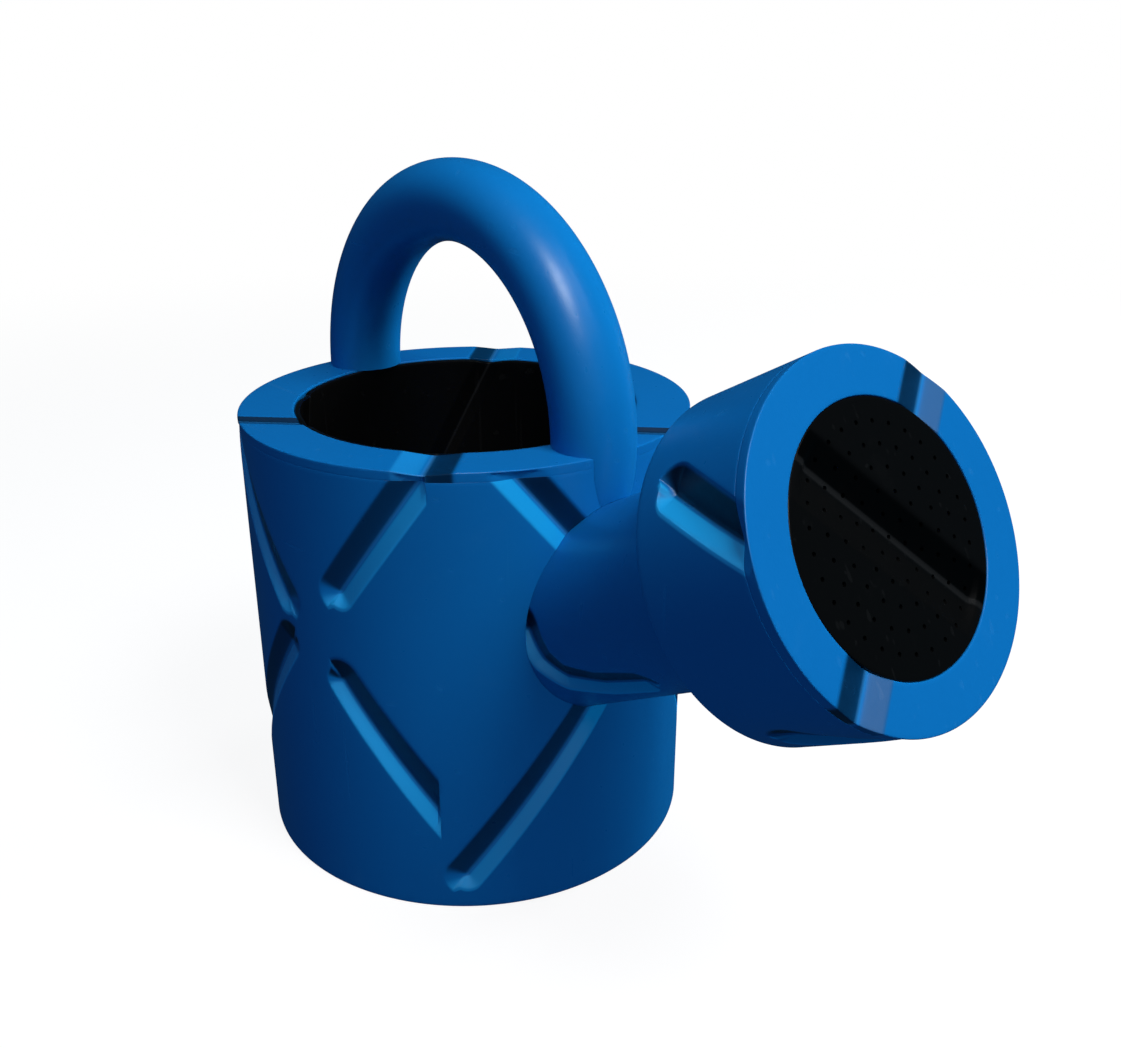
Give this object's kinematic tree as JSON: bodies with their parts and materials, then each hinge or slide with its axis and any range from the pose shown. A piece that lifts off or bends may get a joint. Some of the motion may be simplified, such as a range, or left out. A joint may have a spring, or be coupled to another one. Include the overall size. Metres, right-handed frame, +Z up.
{
  "type": "watering can",
  "caption": "Cylindrical watering can with an open mouth, a hoop handle, a wide straight spout and a pull-off sprinkler rose with an unscrewing face ring.",
  "frame": {"origin": "centre of the tank's underside", "axes": "+Z up along the tank's axis, +X towards the spout's rose, +Y to the left of the spout"},
  "size_m": [0.3615, 0.2, 0.3037],
  "materials": {
    "blue_plastic": "satin",
    "black_plastic": "gloss",
    "black_rubber": "matte",
    "screw_steel": "zinc plated"
  },
  "bodies": {
    "tank": {"outer_shell": "blue_plastic", "inner_tank": "black_plastic", "top_deck": "blue_plastic", "deck_seal": "black_rubber", "handle": "blue_plastic", "screw_washers": "screw_steel", "handle_screws": "screw_steel", "spout_tube": "blue_plastic", "spout_grommet": "black_rubber"},
    "seal": {"rose_seal": "black_rubber"},
    "rose": {"rose_shell": "blue_plastic"},
    "sieve": {"sieve_plate": "black_plastic", "rose_gasket": "black_rubber"},
    "ring": {"rose_ring": "blue_plastic"}
  },
  "joints": [
    {"name": "rose_pull", "type": "slide", "parent": "tank", "child": "seal", "axis": [0.8729, 0, 0.4879], "range_m": [0, 0.045]},
    {"name": "rose_turn", "type": "hinge", "parent": "seal", "child": "rose", "pos_m": [0, 0, 0.07886], "axis": [0.8729, 0, 0.4879], "continuous": true},
    {"name": "sieve_advance", "type": "slide", "parent": "rose", "child": "sieve", "axis": [0.8729, 0, 0.4879], "range_m": [0, 0.008]},
    {"name": "ring_turn", "type": "hinge", "parent": "sieve", "child": "ring", "pos_m": [0, 0, 0.07886], "axis": [0.8729, 0, 0.4879], "range_deg": [0, 360]}
  ],
  "couplings": [
    {"joint": "sieve_advance", "follows": "ring_turn", "m_per_rad": 0.0012732}
  ]
}
